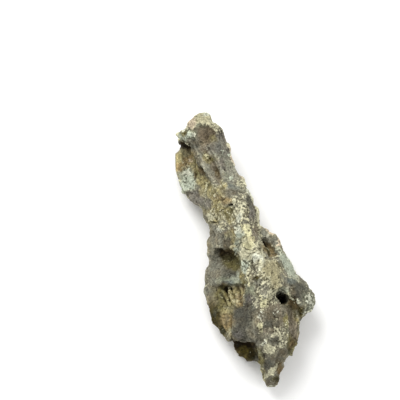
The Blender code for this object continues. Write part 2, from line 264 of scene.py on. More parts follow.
# Where each stain lies on the face: (stain, a, b, half width, half length, turn in degrees). A later
# row lies over an earlier one.
stainPatches = {
    "head": [
        # Under the hook (a -56 to -42, b 90 to 97) the dark brown and dark slate rows are painted shade below
        # its overhang.
        ("greenGrey", -38, 114, 14, 8, 0), ("taupe", -46, 111, 4, 7, 0), ("dusk", -33, 103, 10, 8, 0),
        ("dusk", -28, 100, 5, 6, 20), ("lilacSlate", -25, 92, 5, 5, 0), ("lilacSlate", -22, 97, 4, 6, 0),
        ("greenGrey", -50, 101, 8, 5, 20), ("mint", -54, 99.6, 5, 2.4, 20),
        ("olive", -53.6, 103, 2.6, 1.8, 40), ("greenGrey", -47, 95, 3, 6, 30),
        ("darkSlate", -44.8, 96, 2, 3.2, 20), ("ash", -48.6, 96.6, 2.4, 2.6, 30),
        ("dusk", -38, 95, 4, 3.4, 0), ("olive", -27.5, 97, 3.2, 4, 0), ("lilacSlate", -20, 100, 3, 8, 10),
        ("dusk", -35, 98, 6, 5, 0), ("paintedShadeBrown", -52, 92.5, 7, 4.5, -25), ("slate", -44, 90, 2, 5, 35),
        ("taupe", -36, 88.6, 6, 4, 0), ("darkSlate", -42.6, 91.5, 1.6, 4, 25),
        ("earth", -40.4, 94.4, 3.6, 2.6, 0), ("paintedShadeBrown", -55, 91, 5, 4.5, 0),
    ],
    "cheek": [
        ("brown", -53, 78, 9, 8, 0), ("tan", -49, 82.5, 9, 6, 0), ("khaki", -61, 74, 2, 9, 0),
        ("khaki", -45, 77, 4, 8, 10), ("tan", -48, 80, 3, 4, 0), ("mint", -50, 61, 8, 11, 0),
        ("brown", -43.5, 66, 2, 4, 0), ("darkOliveAndShade", -38.2, 71, 2.8, 6, 25),
        ("khaki", -42.4, 73, 2.4, 5, 10), ("sand", -54, 85.5, 6, 3, 0), ("mint", -51, 67.8, 4, 3.4, 0),
        ("khaki", -43.6, 75.5, 2.4, 3.4, 10), ("tan", -57, 74, 4, 4.4, 0), ("olive", -39.5, 66, 4, 5, 25),
        ("khaki", -37, 61, 4, 6, 20), ("khaki", -33, 56, 5, 7, 25), ("olive", -30, 54, 3, 4, 20),
        ("straw", -39.8, 60.6, 3, 3.6, 20), ("straw", -57.4, 80.6, 3, 4.6, 0),
        ("violetSlate", -44, 45, 9, 8, -30), ("sand", -37, 50.5, 3.4, 3.4, 0), ("slate", -36, 34, 4, 7, 10),
    ],
    "ribs": [
        ("slate", -36, 76, 4.5, 13, 30), ("brown", -37.4, 69.4, 2.4, 4, 25), ("khaki", -34, 81, 2.8, 5, 20),
        ("olive", -29, 80, 2.6, 3, 30), ("taupe", -27, 73, 2.5, 5, 25), ("brown", -25, 68, 1.8, 6, 15),
        ("violetSlate", -26, 90, 8, 5, 0), ("slate", -16, 80, 8, 18, 25),
        ("lilacSlate", -22.8, 89.6, 3.2, 5, 0), ("violetSlate", -18, 88, 4, 5, 20),
        ("greenGrey", -13, 69, 6, 7, 20), ("blueSlate", -10, 55, 5, 5, 0), ("taupe", -22, 58, 3, 7, 15),
        ("violetSlate", -20, 75, 2.6, 7, 25), ("ash", -11, 66, 5, 9, 22), ("ash", -29, 85.6, 2.4, 3, 20),
        ("ash", -8, 64.5, 2, 5, 22), ("straw", -19, 57, 3, 4.6, 20),
    ],
    "middle": [
        ("khaki", -26, 49, 8, 7, 20), ("tan", -23, 44, 6, 4, 0), ("khaki", -27, 38, 9, 7, 0),
        ("olive", -14, 32, 5.5, 6, 0), ("khaki", -13, 26, 4.5, 4, 0), ("violetSlate", 5.5, 35, 4.6, 12, 8),
        ("brown", -18.5, 44.5, 3, 2.5, 0), ("khaki", -17, 35.5, 2.5, 3, 0), ("slate", -10, 50, 8, 5, 0),
        ("taupe", -14, 18, 4.5, 4, 0), ("khaki", -12, 10, 5, 9, 0), ("taupe", 7.5, 17, 3, 10, 0),
        ("mint", -5.5, 5, 4, 6, 15), ("khaki", -27, 28, 5, 5, 0), ("slate", -26, 12, 7, 9, 0),
        ("sand", -21.8, 28.2, 4.6, 3.6, 0), ("ash", -18, 21.8, 4.4, 3.6, 0),
        ("sand", -13.4, 12.4, 3.4, 3.6, 0), ("earth", -15.5, 5.5, 4, 5, 0),
        ("darkSlate", 2.6, 43, 3, 4.6, 15), ("tan", -16.4, 43.6, 3.6, 3.4, 0),
        ("violetSlate", -33.4, 41.4, 4, 5.4, 30), ("earth", -10.8, 51, 4.4, 3, 0),
    ],
    "scoop": [
        # The dark rows in the scoop's upper part and along the foot of its ledge are painted shade under the
        # overhangs, and the ledge's grey-green tones are painted a little darker as a half shadow cast on it.
        ("darkOliveAndShade", -15, -5, 9, 8, 0), ("paintedShadeBrown", -17, -1.5, 7, 3.5, -15),
        ("bowlOlive", -10, -11, 8, 6.5, 0), ("greenGrey", -12, -25.8, 12, 4.2, 0),
        ("paleMint", -8, -22, 5.6, 4.2, 0), ("olive", -1.8, -27.4, 2.6, 3, 0),
        ("mint", -10.5, -26, 4, 2.2, 0), ("blueSlate", -14.5, -28, 4, 1.8, 0),
        ("darkSlate", -13.5, -20.4, 6, 3.6, 0), ("darkSlate", -18.5, -29.4, 4, 2, 0),
        ("paintedShadeBrown", -16, -33.4, 7, 2, 0), ("mint", -1, -12, 2.5, 9, 0),
        ("bowlOlive", -5.2, -10.5, 3, 5, 0), ("khaki", -3, -21, 2.2, 4, 0), ("slate", -27, -12, 6, 12, 0),
        ("darkSlate", 3, -42.6, 3.4, 7, 0), ("paintedShadeBrown", -19.4, -31.6, 4, 2.4, 0),
    ],
    "flutes": [
        ("olive", -15, -41, 12, 9, 0), ("darkOliveAndShade", -18.5, -40, 4, 4, 20), ("khaki", -10, -44, 5, 6, 0),
        ("tan", -4, -40, 3.6, 9, -8), ("olive", -20, -37, 4, 5, 0), ("khaki", -17, -54, 8, 4, 0),
        ("olive", -22, -49, 4, 3.4, 0), ("straw", -6, -35, 5.4, 2.6, 0), ("khaki", -18, -64, 6.5, 9, 8),
        ("tan", -19, -62, 4, 6, 8), ("tan", -13.5, -67, 2, 7, 5), ("tan", -14, -59.6, 4.4, 5, 0),
        # The next two rows are painted shade on the steep wall at the left, which is turned from the light.
        ("darkOliveAndShade", -27, -56, 5, 12, 13), ("darkOliveAndShade", -22.8, -69, 4.8, 8, 34),
    ],
    "shield": [
        ("greenGrey", 4, -38, 5, 9, 0), ("lilacSlate", 4, -41.6, 4.4, 4.6, 0),
        ("shieldSlate", -3, -56, 9, 7.5, 0), ("shieldSlate", -2.5, -70, 9.5, 9.5, 0),
        ("shieldSlate", 5, -73, 8, 8, 0), ("darkSlate", 1, -51.5, 8, 3.5, 0),
        ("slate", 5, -70.5, 4.6, 7, 0), ("lilacSlate", -6, -72, 4, 4, 0),
        ("shieldSlate", 0.6, -46.6, 4, 2.6, 0), ("darkSlate", -4, -49.4, 5, 2, 0),
        # From the dark brown row at b -88 on, the recess below the shield is painted as its shade: dark brown
        # under the brink, a lighter moss olive on its floor, dark olive at its sides.
        ("shieldSlate", -3, -51.5, 5, 2.4, 0), ("paintedShadeBrown", -1, -88, 13, 8.5, -12),
        ("mossOlive", 0, -88.5, 7, 4.6, -12), ("darkOliveAndShade", 6.6, -91, 3, 4, 0),
        ("paintedShadeBrown", -1, -81.5, 12, 2.6, -4), ("paintedShadeBrown", -10, -83, 4.4, 6, 0),
        ("darkOliveAndShade", -4.6, -92.4, 5, 3, -12),
    ],
    "bulge": [
        ("greenGrey", 2, -8, 6, 6, 0), ("sand", 21, -17, 9, 9, 0), ("sand", 25, -25, 6, 7, 0),
        ("slate", 6.6, -14, 2.8, 8, 15), ("slate", 16, -33.6, 3.6, 5.6, 0),
        ("darkOliveAndShade", 8.3, -24, 3, 2, 0), ("olive", 27.5, -10, 3, 4.5, 10),
    ],
    "wing": [
        ("ash", 17, 14, 4.6, 3.2, -30), ("slate", 25.6, 7, 2.6, 3.6, 0), ("brown", 20, 2, 4, 7, 25),
        ("brown", 24, -1.5, 3.2, 4.5, 20), ("slate", 28, -6, 2.5, 7, 10), ("tan", 22.4, -2, 2.8, 5, 20),
        ("darkOliveAndShade", 18.9, 0.2, 1.5, 4.6, 22), ("ash", 20.2, 9.8, 3.4, 3.2, 0),
        ("mint", 36.4, -12.5, 4.5, 15, 32), ("slate", 38, -26, 10, 7, -30),
        ("blueSlate", 40.5, -25.4, 4.4, 4, 0), ("darkSlate", 47, -34, 8, 6, -35),
        ("shieldSlate", 43.4, -39, 3, 6, 40), ("mint", 31, -34.6, 4.6, 2.8, 0),
        ("greenGrey", 56, -45, 6, 9, 20), ("earth", 40.4, -35, 3.6, 2.8, -35),
    ],
    "lower": [
        ("taupe", 22, -58, 12, 14, 0), ("earth", 23, -56, 9, 6, 0), ("darkSlate", 21, -62.5, 7, 4, 0),
        ("slate", 20, -77, 9, 7, 0), ("darkSlate", 24.6, -75.8, 3.6, 3, 0),
        # The dark brown row below is painted shade in and around the hole.
        ("paintedShadeBrown", 32.4, -43.4, 4, 4, 0), ("taupe", 28, -50.5, 3.4, 3.2, 0),
        ("taupe", 20, -67.5, 4, 3, 0), ("brown", 42, -46, 4, 6, 15), ("darkOliveAndShade", 47.5, -53, 3, 6, 0),
        ("olive", 41, -64, 3.6, 13, 0), ("olive", 38.5, -82, 3.6, 10, 8), ("olive", 34.6, -60, 2.4, 8, 0),
        ("darkOliveAndShade", 37, -85, 2.2, 6, 5), ("taupe", 39.4, -64, 3, 12, 2), ("earth", 32, -86.4, 4, 3.6, 0),
        # The dark brown row at a 44.5 is a painted shadow beside the blade.
        ("taupe", 42.4, -70, 2, 7, 0), ("paintedShadeBrown", 44.5, -82, 1.8, 8, 15), ("olive", 13, -93, 2.6, 10, 8),
        ("darkSlate", 20, -98, 5, 6.5, 0), ("earth", 25.6, -91, 3.6, 3.4, 0),
        ("brown", 29.6, -103, 3, 8, 12), ("darkOliveAndShade", 27, -112, 4, 3.5, 0), ("earth", 23, -116, 5, 4, 0),
        ("khaki", 16, -108, 2, 6, 12), ("earth", 35.2, -53, 3, 3.8, 0), ("brown", 39.6, -44, 2.4, 3, 0),
        ("brown", 38.4, -80, 2, 4, 0),
    ],
}

# Away from the face the stains drift with broad noise: (stain, size of the drift in mm, shift of the
# noise, which side of it, where the stain starts, where it is full, how much of it).
stainDrifts = [
    ("khaki", 24, 11, 1, 0.0, 0.35, 1.0), ("brown", 15, 17, 1, 0.05, 0.4, 0.9),
    ("violetSlate", 24, 11, -1, 0.1, 0.4, 0.8), ("olive", 9, 29, 1, 0.1, 0.4, 0.8),
    ("mint", 9, 29, -1, 0.2, 0.45, 0.6),
]

# The crust's tones, and where it is thick: (tone, a, b, half width, half length, turn, thickness).
crustTones = {
    "cream": "#D2CEAE", "yellowCream": "#D5D0A6", "whiteCream": "#DFE0CA", "mintCream": "#C8CFB9",
    "peachCream": "#CFBFA4", "clayCream": "#C3BD9B", "greyCream": "#CDC9AA", "sandCream": "#B9B18C",
}
crustPatches = {
    "broad": [
        ("cream", -3, 36, 10, 18, -20, 0.5), ("cream", 3, 8, 9, 18, -15, 0.5),
        ("cream", 13, -20, 15, 22, -10, 0.5), ("cream", 20, -66, 16, 26, -5, 0.26),
        ("mintCream", -18, 80, 6, 22, 25, 0.32), ("cream", -28, 44, 10, 14, 0, 0.3),
    ],
    "head": [
        ("clayCream", -38, 115, 13, 8.5, 0, 0.9), ("peachCream", -47, 112, 4, 6, 0, 0.85),
        ("cream", -26, 108.5, 7.5, 2.2, -40, 0.8), ("whiteCream", -33, 120, 4, 2, 0, 0.7),
        # The first cream row below thins the crust at the boss's lower edge, as painted shade.
        ("cream", -38, 109.3, 5, 2.2, 0, 0.3), ("mintCream", -50, 101, 4.5, 2.6, 25, 0.65),
        ("whiteCream", -44.8, 101.4, 2.4, 2, 0, 0.9), ("whiteCream", -55, 105, 6, 1.5, 38, 0.8),
        ("cream", -33, 101, 9, 8, 0, 0.05),
    ],
    "cheek": [
        ("peachCream", -47.5, 79, 2.2, 2.2, 0, 0.6), ("mintCream", -52, 56, 4.5, 5, 0, 0.8),
        ("mintCream", -47, 57, 4, 5, 0, 0.92), ("mintCream", -50.4, 64, 5, 8, 0, 0.72),
        ("mintCream", -45.6, 63, 1.6, 4, 0, 0.35), ("whiteCream", -51, 67.6, 3.4, 2.4, 0, 0.92),
        ("sandCream", -57, 74, 4, 4.4, 0, 0.05), ("sandCream", -51.6, 73, 3.6, 1.8, 0, 0.4),
        ("yellowCream", -34, 57, 1.2, 4, 10, 0.75), ("mintCream", -57, 53, 2, 7, 40, 0.7),
    ],
    "ribs": [
        ("mintCream", -13, 62, 2.6, 1.8, 0, 0.85), ("mintCream", -22, 83, 3.5, 4, 0, 0.4),
        ("peachCream", -9, 77, 1.6, 16, 24, 0.75), ("whiteCream", 2, 50, 1.5, 7, 25, 0.6),
        ("cream", -4, 58, 4, 4, 0, 0.5), ("cream", -18, 60, 2, 3, 0, 0.45),
        ("cream", -11.4, 70.4, 3.4, 4.6, 20, 0.15), ("cream", -20, 75, 2.6, 7, 25, 0.1),
        ("mintCream", -30.6, 88, 3, 3, 0, 0.15), ("yellowCream", -33.6, 82, 2.2, 3, 20, 0.7),
    ],
    "middle": [
        ("cream", -9, 43.6, 6, 4, 0, 0.72), ("cream", -4, 35, 5.5, 9, -10, 0.68),
        ("whiteCream", -3, 27, 5, 4, 0, 0.72), ("yellowCream", 0, 16, 6.5, 9, -10, 0.78),
        ("whiteCream", -5.6, 16.5, 3.4, 5, 15, 0.92), ("cream", 6, 26, 4, 3, 0, 0.45),
        ("cream", 4, 5, 8, 5, -10, 0.88), ("cream", -24, 52, 4, 5, 20, 0.45),
        ("cream", -4, 44.5, 3.5, 3, 0, 0.22), ("yellowCream", 2.4, 4.4, 5.4, 3, 0, 0.97),
        ("mintCream", -5, 13, 3, 2.6, 0, 0.75), ("cream", 8, 13.5, 2.4, 8, 0, 0.12),
        ("cream", -29, 30, 4, 5, 0, 0.75), ("whiteCream", -22, 19, 5, 3, -35, 0.6),
        ("cream", -36, 47, 3, 3, 0, 0.4), ("cream", -11, 50.5, 4.4, 3.2, 0, 0.12),
        ("cream", -17, 44, 4.6, 3.6, 0, 0.03), ("clayCream", -0.4, 25.4, 3.4, 3, 0, 0.3),
        ("cream", -22, 28.2, 4, 3, 0, 0.5), ("sandCream", -9.8, 3.4, 3, 3, 0, 0.9),
        ("clayCream", -18, 21.6, 4, 3.2, 0, 0.7), ("clayCream", 0, 32.4, 2.6, 4.4, -8, 0.5),
        ("cream", 4.6, 36, 2.4, 8, 8, 0.08), ("sandCream", 4.8, 9.8, 3.4, 2.8, 0, 0.7),
        ("mintCream", -7.6, 0, 3, 2.8, 0, 0.55), ("cream", -1, 0, 3, 2.2, 0, 0.92),
        ("cream", 2.6, 43, 2.6, 4.4, 15, 0.08),
    ],
    "bulge": [
        ("cream", -1, -5, 5, 3.2, 0, 0.9), ("cream", 4.5, -3.5, 3, 2.5, 0, 0.75),
        ("whiteCream", 9.5, -6.5, 5, 4.5, -20, 0.95), ("mintCream", 0, -14, 2.6, 6, 0, 0.55),
        ("cream", 14, -3, 3, 4, 0, 0.7), ("whiteCream", 13.5, -14, 3, 6, 0, 0.66),
        ("sandCream", 22, -16, 9, 9, 0, 0.93), ("yellowCream", 3.6, -27, 2.4, 6, 0, 0.75),
        ("cream", 14, -26, 8, 7, 0, 0.54), ("sandCream", 26, -26, 4.5, 7, 0, 0.8),
        ("yellowCream", 14, -43, 6.5, 6, 0, 0.62), ("cream", 22, -37, 6, 5, 0, 0.65),
        ("mintCream", -8, -22, 6, 4.4, 0, 0.08), ("cream", -1.6, -27.4, 2.8, 3, 0, 0.08),
        ("cream", 12.4, -20.4, 2.8, 2.6, 0, 0.35), ("whiteCream", 10.8, -7, 3.2, 3, 0, 0.95),
        ("cream", 11.6, -11.4, 2.6, 2.6, 0, 0.7), ("cream", 6.6, -14, 2.4, 7, 15, 0.25),
        ("cream", 27.5, -10, 3, 4, 10, 0.2), ("cream", -5.2, -8, 2.6, 5, 0, 0.15),
        ("cream", 8.6, -25.6, 4.4, 4.4, 0, 0.18), ("cream", 16, -33.8, 3.8, 6.4, 0, 0.28),
        ("cream", 22, -35, 4, 3.4, 0, 0.85), ("sandCream", 20.6, -15.6, 5.4, 5, 0, 0.97),
        ("clayCream", 31, -22, 3, 4, 0, 0.3), ("clayCream", 29.4, -15.4, 2.4, 3, 0, 0.45),
        ("clayCream", 31, -30, 3, 5, 0, 0.3), ("cream", 2.6, -42, 3.6, 8, 0, 0.02),
        ("cream", 8.6, -44, 2.4, 5, 0, 0.4), ("cream", 23, -44, 3, 3, 0, 0.6),
        ("cream", 5.6, -36, 3, 6, 0, 0.3),
    ],
    "wing": [
        ("peachCream", 22, 16, 9, 1.8, -30, 0.9), ("peachCream", 29, 7, 1.5, 5, -8, 0.8),
        ("mintCream", 36.2, -12.4, 3.8, 14, 32, 0.95), ("cream", 20, 0, 4.5, 8, 20, 0.08),
        ("whiteCream", 31, -35.8, 4, 3, 0, 0.97), ("mintCream", 41, -40.5, 4, 1.4, -25, 0.6),
        ("whiteCream", 56, -44, 6, 7, 0, 0.5), ("whiteCream", 53, -53, 4, 4, 0, 0.5),
        ("cream", 39.6, -33.2, 5, 5, -30, 0.05), ("cream", 43, -38, 3, 4.4, 40, 0.05),
        ("cream", 48, -48.6, 2.4, 3, 20, 0.08), ("whiteCream", 45.4, -44.2, 1.4, 2.4, 30, 0.8),
    ],
    "lower": [
        ("yellowCream", 12.5, -66, 2.6, 6, 0, 0.85), ("whiteCream", 13, -54, 4, 4, 0, 0.5),
        ("greyCream", 28, -71, 6.5, 7, 0, 0.65), ("greyCream", 21, -84.4, 5, 4.4, 0, 0.75),
        ("greyCream", 19, -81, 3, 3, 0, 0.7), ("cream", 22.5, -55, 5, 4.4, 0, 0.12),
        ("whiteCream", 26, -52.4, 3, 3, 0, 0.42), ("cream", 18, -60.5, 3, 3, 0, 0.25),
        ("cream", 33.8, -54, 3.4, 4.4, 0, 0.04), ("greyCream", 30, -79, 4.2, 5.2, 0, 0.6),
        ("greyCream", 30.8, -87, 5.4, 4, 10, 0.03), ("greyCream", 24.6, -75.8, 3.6, 3, 0, 0.03),
        ("greyCream", 18.5, -84, 4, 3.4, 0, 0.85), ("cream", 26.4, -91, 4, 3.6, 0, 0.02),
        ("cream", 37.2, -80, 2.4, 10, 0, 0.02), ("cream", 15, -74, 2.4, 2.4, 0, 0.12),
        ("greyCream", 15, -77.6, 2.6, 2.4, 0, 0.62), ("greyCream", 21.6, -104.4, 2.4, 8.5, -36, 0.88),
        ("cream", 27, -107.4, 2.4, 4, -20, 0.08), ("greyCream", 15.2, -107, 1.8, 5, 12, 0.65),
        ("cream", 18, -97, 3, 6, 0, 0.1), ("whiteCream", 15.5, -78, 2.6, 2.6, 0, 0.6),
        ("whiteCream", 22, -119, 5, 1.6, 0, 0.5), ("cream", 16, -108, 1.5, 3, 0, 0.5),
        ("cream", -3, -56, 9.5, 8.5, 0, 0.05), ("cream", -2.5, -70, 10, 10, 0, 0.05),
        ("cream", 5, -73, 8, 8.5, 0, 0.05), ("cream", -18, -66, 7, 10, 8, 0.12),
        ("cream", -1, -87, 13, 9, -6, 0.0),
    ],
    "flutes": [
        ("yellowCream", -13, -68, 1.6, 7, 5, 0.55), ("yellowCream", -17, -55, 7, 1.6, 0, 0.35),
        ("cream", -15, -72.5, 2.6, 3, 0, 0.4), ("cream", -13.6, -60, 4.4, 5, 0, 0.03),
        ("cream", -26.8, -58, 5, 12, 13, 0.0), ("sandCream", -9, -40, 9, 8, 0, 0.12),
    ],
}

# Cracks and creases (height under 0) and raised veins and ribs: (points of the line as (a, b), width,
# height), in mm, and for some how dark the crack is, or how much crust the rib has (0 to 1).
seams = {
    "upper crack": ([(-24, 43.2), (-20.5, 43.8), (-17, 46)], 0.7, -0.9),
    "main crack": ([(-11.4, 40), (-14.6, 38.6), (-16.4, 36.8), (-19.4, 35.2), (-22.6, 33.6)], 0.5, -1.0),
    "left crack": ([(-30, 27), (-27.3, 24.3), (-24.6, 25), (-21.5, 22)], 0.6, -1.0),
    "lip crease": ([(-1, -0.6), (3, -2.4), (6.5, -2.2), (10, -0.8)], 0.8, -0.7),
    "trough": ([(4.8, -9), (5.6, -14), (7.2, -19)], 2.0, -1.6, 0.2),
    "lip layer": ([(0, 1.6), (4, 0.4), (8, 1.0), (11, 3)], 0.7, -0.5, 0.15),
    "bulge crease": ([(-4, 7), (-2, 3), (0.5, 0.8), (4, 1.2)], 0.8, -0.6, 0.15),
    "first scallop": ([(-40, 98), (-37, 96.6), (-33, 98)], 0.7, -0.5),
    "second scallop": ([(-39.6, 95.4), (-36.5, 94), (-33, 95.4)], 0.7, -0.5),
    "third scallop": ([(-38, 100.4), (-35, 99.4), (-32, 100.4)], 0.7, -0.3),
    "cheek crease": ([(-58.5, 60), (-56, 55), (-52, 50.5), (-46, 49)], 0.9, -0.7),
    "mint edge": ([(-44.5, 78), (-43.2, 70), (-43.4, 62)], 0.9, -0.6),
    "slab crease": ([(-32, 89.5), (-28, 84), (-24.5, 77), (-22, 70.5)], 0.9, -0.6),
    "plate line 1": ([(-25, -54), (-18, -55.6), (-11, -54)], 0.7, -0.4),
    "plate line 2": ([(-24, -56.6), (-18, -58.2), (-11.5, -57)], 0.7, -0.4),
    "plate streak 1": ([(-21, -60), (-18, -71)], 0.7, -0.3),
    "plate streak 2": ([(-17, -60), (-14.5, -73)], 0.7, -0.3),
    "shield side": ([(-12.6, -54), (-13, -62), (-12.6, -72), (-11.4, -78)], 0.9, -1.1),
    "shield top": ([(-10, -50), (-4, -47.6), (2, -46.6)], 0.9, -0.7),
    "body line 1": ([(14, -57), (20, -57), (26.5, -60.5), (31, -66)], 0.7, -0.2),
    "body line 2": ([(14, -60.5), (20, -60.2), (26, -64), (30, -69.5)], 0.7, -0.2),
    "body line 3": ([(16, -64), (21, -64), (25.5, -67.5), (28.5, -73)], 0.7, -0.3),
    "tip line": ([(15.5, -88), (16, -95), (17, -103)], 0.8, -0.6),
    "furrow 1": ([(-21.8, -37), (-18.6, -42.5), (-15.5, -47.5)], 0.8, -0.7),
    "furrow 2": ([(-16.6, -34), (-14.4, -40), (-11.8, -45.5)], 0.8, -0.9),
    "furrow 3": ([(-11.8, -32.5), (-10.7, -38), (-9.2, -42)], 0.8, -0.9),
    "furrow 4": ([(-6.2, -32), (-4.6, -38), (-3.6, -46)], 0.9, -1.0),
    "vein 1": ([(2, 26.5), (-2, 28.6), (-4.4, 32.5)], 0.8, 0.5),
    "vein 2": ([(-2, 28.6), (-3.4, 24.5), (-2.6, 21)], 0.8, 0.5),
    "wing rim": ([(13, 20), (17, 18.6), (21, 16.4), (25.4, 14), (28.4, 10.6), (30, 5)], 1.0, 0.5),
    "head rim": (
        [(-40, 112.4), (-36.4, 111.8), (-32.9, 111), (-29.4, 108.6), (-26.2, 106), (-23.8, 101.9)],
        0.9, 0.5, 0.85,
    ),
    "slab edge": ([(-43.2, 87), (-38.4, 76.2), (-32.6, 68.8), (-28, 62)], 0.8, 0.6, 0.25),
    "hook rim": ([(-60, 100), (-57, 104), (-53.6, 106.6), (-50.5, 106)], 1.3, 0.3, 1.0),
    "hook edge": ([(-59.5, 98.6), (-54, 96.4), (-49.6, 94)], 0.8, 0.3, 0.6),
    "recess edge": ([(14.6, 8.2), (17.2, 4.6), (19.2, 0.6), (20.6, -3.4)], 0.9, -0.9, 0.6),
    "hole lip": (
        [(27.4, -39), (29.2, -36.2), (32.2, -35), (35.4, -36), (38.6, -38), (41.2, -41)],
        1.1, 0.7, 0.85,
    ),
    "line by the channel": ([(35, -58.5), (35.6, -64), (35.4, -74)], 0.5, 0.4, 0.5),
    "right rim": (
        [
            (-15.4, 93), (-12.6, 84), (-8.8, 76), (-5, 68), (-1, 58), (3.6, 49), (7, 41.5), (9.8, 36),
            (10.6, 29), (10.6, 22),
        ],
        1.2, 0.4, 0.95,
    ),
    "blade rim": ([(45.6, -58), (44.8, -66), (44.6, -73), (42.8, -81)], 0.8, 0.3, 0.4),
    "flute 1": ([(-24, -38), (-20.5, -43), (-17, -47.5)], 0.9, 0.5, 0.2),
    "flute 2": ([(-19.4, -35.5), (-16.5, -41), (-13.5, -46.5)], 0.9, 0.6, 0.3),
    "flute 3": ([(-13.9, -32.5), (-12.4, -38.5), (-9.8, -44), (-8, -47.5)], 1.2, 1.0, 0.6),
    "flute 4": ([(-9.6, -32), (-8, -37), (-6.4, -41), (-5.6, -46)], 1.1, 0.8, 0.5),
    "flute 5": ([(-3.8, -32), (-4.4, -39), (-4, -46)], 0.8, 0.4, 0.35),
    "flute 6": ([(-0.6, -31.5), (-0.7, -39), (-1.2, -46)], 0.8, 0.4, 0.35),
}

# Where small dark pits crowd: (a, b, half width, half length, turn, share of the cells that have one).
peckPatches = [
    (15, -28, 9, 9, 0, 0.85), (0, 17, 4, 6, 0, 0.45), (1, 33, 5, 6, 0, 0.45), (20, -44, 8, 6, 0, 0.5),
    (55, -46, 6, 8, 0, 0.4), (30, -76, 5, 9, 0, 0.4), (24, -66, 7, 5, 0, 0.4), (-4, 40, 5, 4, 0, 0.4),
    (6, -8, 3, 4, 0, 0.4), (-9, 44, 5, 4, 0, 0.3),
]

# Single deep pits: (a, b, half width, half length, depth), in mm.
pitSpots = {
    "crack head": (-12.6, 39.8, 1.6, 1.2, 1.4),
    "left crack": (-27.3, 24.2, 1.4, 1.2, 1.6),
    "boss cleft": (-42, 113.5, 1.2, 1.6, 1.2),
    "groove head": (-30.2, 80.4, 1.8, 1.3, 0.4),
}


def shapeWeight(a, b, row, feather=0.45):
    middleA, middleB, halfWidth, halfLength, turn = row
    turn = math.radians(turn)
    across = (a - middleA) * math.cos(turn) + (b - middleB) * math.sin(turn)
    along = (b - middleB) * math.cos(turn) - (a - middleA) * math.sin(turn)
    reach = np.hypot(across / halfWidth, along / halfLength)
    return 1 - smoothStep(1 - feather, 1 + feather, reach)


def lineDistance(a, b, line):
    points = np.column_stack([a, b])
    nearest = np.full(len(a), np.inf)
    for start, end in zip(np.array(line[:-1], float), np.array(line[1:], float)):
        step = end - start
        along = np.clip((points - start) @ step / (step @ step), 0, 1)
        gap = points - start - along[:, None] * step
        nearest = np.minimum(nearest, np.hypot(gap[:, 0], gap[:, 1]))
    return nearest


def paintStone(obj):
    data = obj.data
    sizes = surfaceSizes
    points = vertexArray(data, "co")
    normals = vertexArray(data, "normal")
    a, b = placeToPlan(points)
    strayA, strayB = (
        sizes["wander"] * noiseField(points, sizes["wanderSize"], 2, broad)
        + sizes["fray"] * noiseField(points, sizes["fraySize"], 2, fine)
        for broad, fine in ((3.1, 8.7), (5.9, 1.3))   # each noise has a shift of its own
    )
    seamA, seamB = a + sizes["seamShare"] * strayA, b + sizes["seamShare"] * strayB
    a, b = a + strayA, b + strayB
    tilt = facePlan["tilt"]
    facing = normals @ np.array([0, -math.sin(tilt), math.cos(tilt)])
    onFace = smoothStep(*sizes["faceEdge"], facing)

    values = {name: np.array(linearColour(row[0]) + list(row[1:])) for name, row in stains.items()}
    body = np.tile(values["slate"], (len(points), 1))
    for name, size, shift, side, low, high, most in stainDrifts:
        weight = smoothStep(low, high, side * noiseField(points, size, 3, shift)) * most
        weight = weight * (1 - (1 - sizes["driftOnFace"]) * onFace)
        body += weight[:, None] * (values[name] - body)
    for rows in stainPatches.values():
        for name, *row in rows:
            weight = shapeWeight(a, b, row) * onFace
            body += weight[:, None] * (values[name] - body)
    tint = body[:, :3]
    fold, pitting, lump = body[:, 3:].T
    for *row, share in peckPatches:
        pitting = np.maximum(pitting, shapeWeight(a, b, row) * onFace * share)

    crust = sizes["crustMean"] + sizes["crustSwing"] * noiseField(
        points, sizes["crustSize"], 3, sizes["crustShift"]
    )
    tones = {name: np.array(linearColour(hexCode)) for name, hexCode in crustTones.items()}
    tone = np.tile(tones["cream"], (len(points), 1))
    for rows in crustPatches.values():
        for name, *row, thickness in rows:
            weight = shapeWeight(a, b, row) * onFace
            crust += weight * (thickness - crust)
            tone += weight[:, None] * (tones[name] - tone)

    out = np.zeros(len(points))
    dirt = np.zeros(len(points))
    for line, width, height, *share in seams.values():
        weight = np.exp(-(lineDistance(seamA, seamB, line) / width) ** 2) * onFace
        out += weight * height
        if height < 0:
            share = share or [min(1, -height / sizes["crackDepth"])]
            dirt = np.maximum(dirt, weight * share[0])
        else:
            share = share or [sizes["ribCrust"]]
            crust = np.maximum(crust, weight * share[0])
    for *row, depth in pitSpots.values():
        weight = shapeWeight(a, b, (*row, 0)) * onFace
        out -= weight * depth
        dirt = np.maximum(dirt, weight)
    points += normals * (out * mm)[:, None]
    data.vertices.foreach_set("co", points.astype(np.float32).ravel())

    # The grain runs down the length of the stone: streaks and folds are longer that way.
    bend = smoothStep(sizes["grainStraight"], sizes["grainLeaning"], b)
    lean = np.radians(sizes["grainLean"]) * bend
    x, y, z = points.T
    across = x * np.cos(lean) + y * np.sin(lean)
    along = y * np.cos(lean) - x * np.sin(lean)
    grain = np.column_stack([across, along / sizes["grainStretch"], z])
    for name, place in (("grain", grain), ("rest", points)):
        setAttribute(data, name, place, "FLOAT_VECTOR", "vector")
    for name, colour in (("bodyTint", tint), ("crustTint", tone)):
        setAttribute(data, name, np.column_stack([colour, np.ones(len(a))]), "FLOAT_COLOR", "color")
    for name, amount in (
        ("fold", fold), ("pitting", pitting), ("lump", lump), ("crust", np.clip(crust, 0, 1)), ("dirt", dirt),
    ):
        setAttribute(data, name, amount)


surface = makeSurface()
print("surface:", len(surface.data.vertices), "points")
paintStone(surface)
print("surface: stains, crust and seams placed")


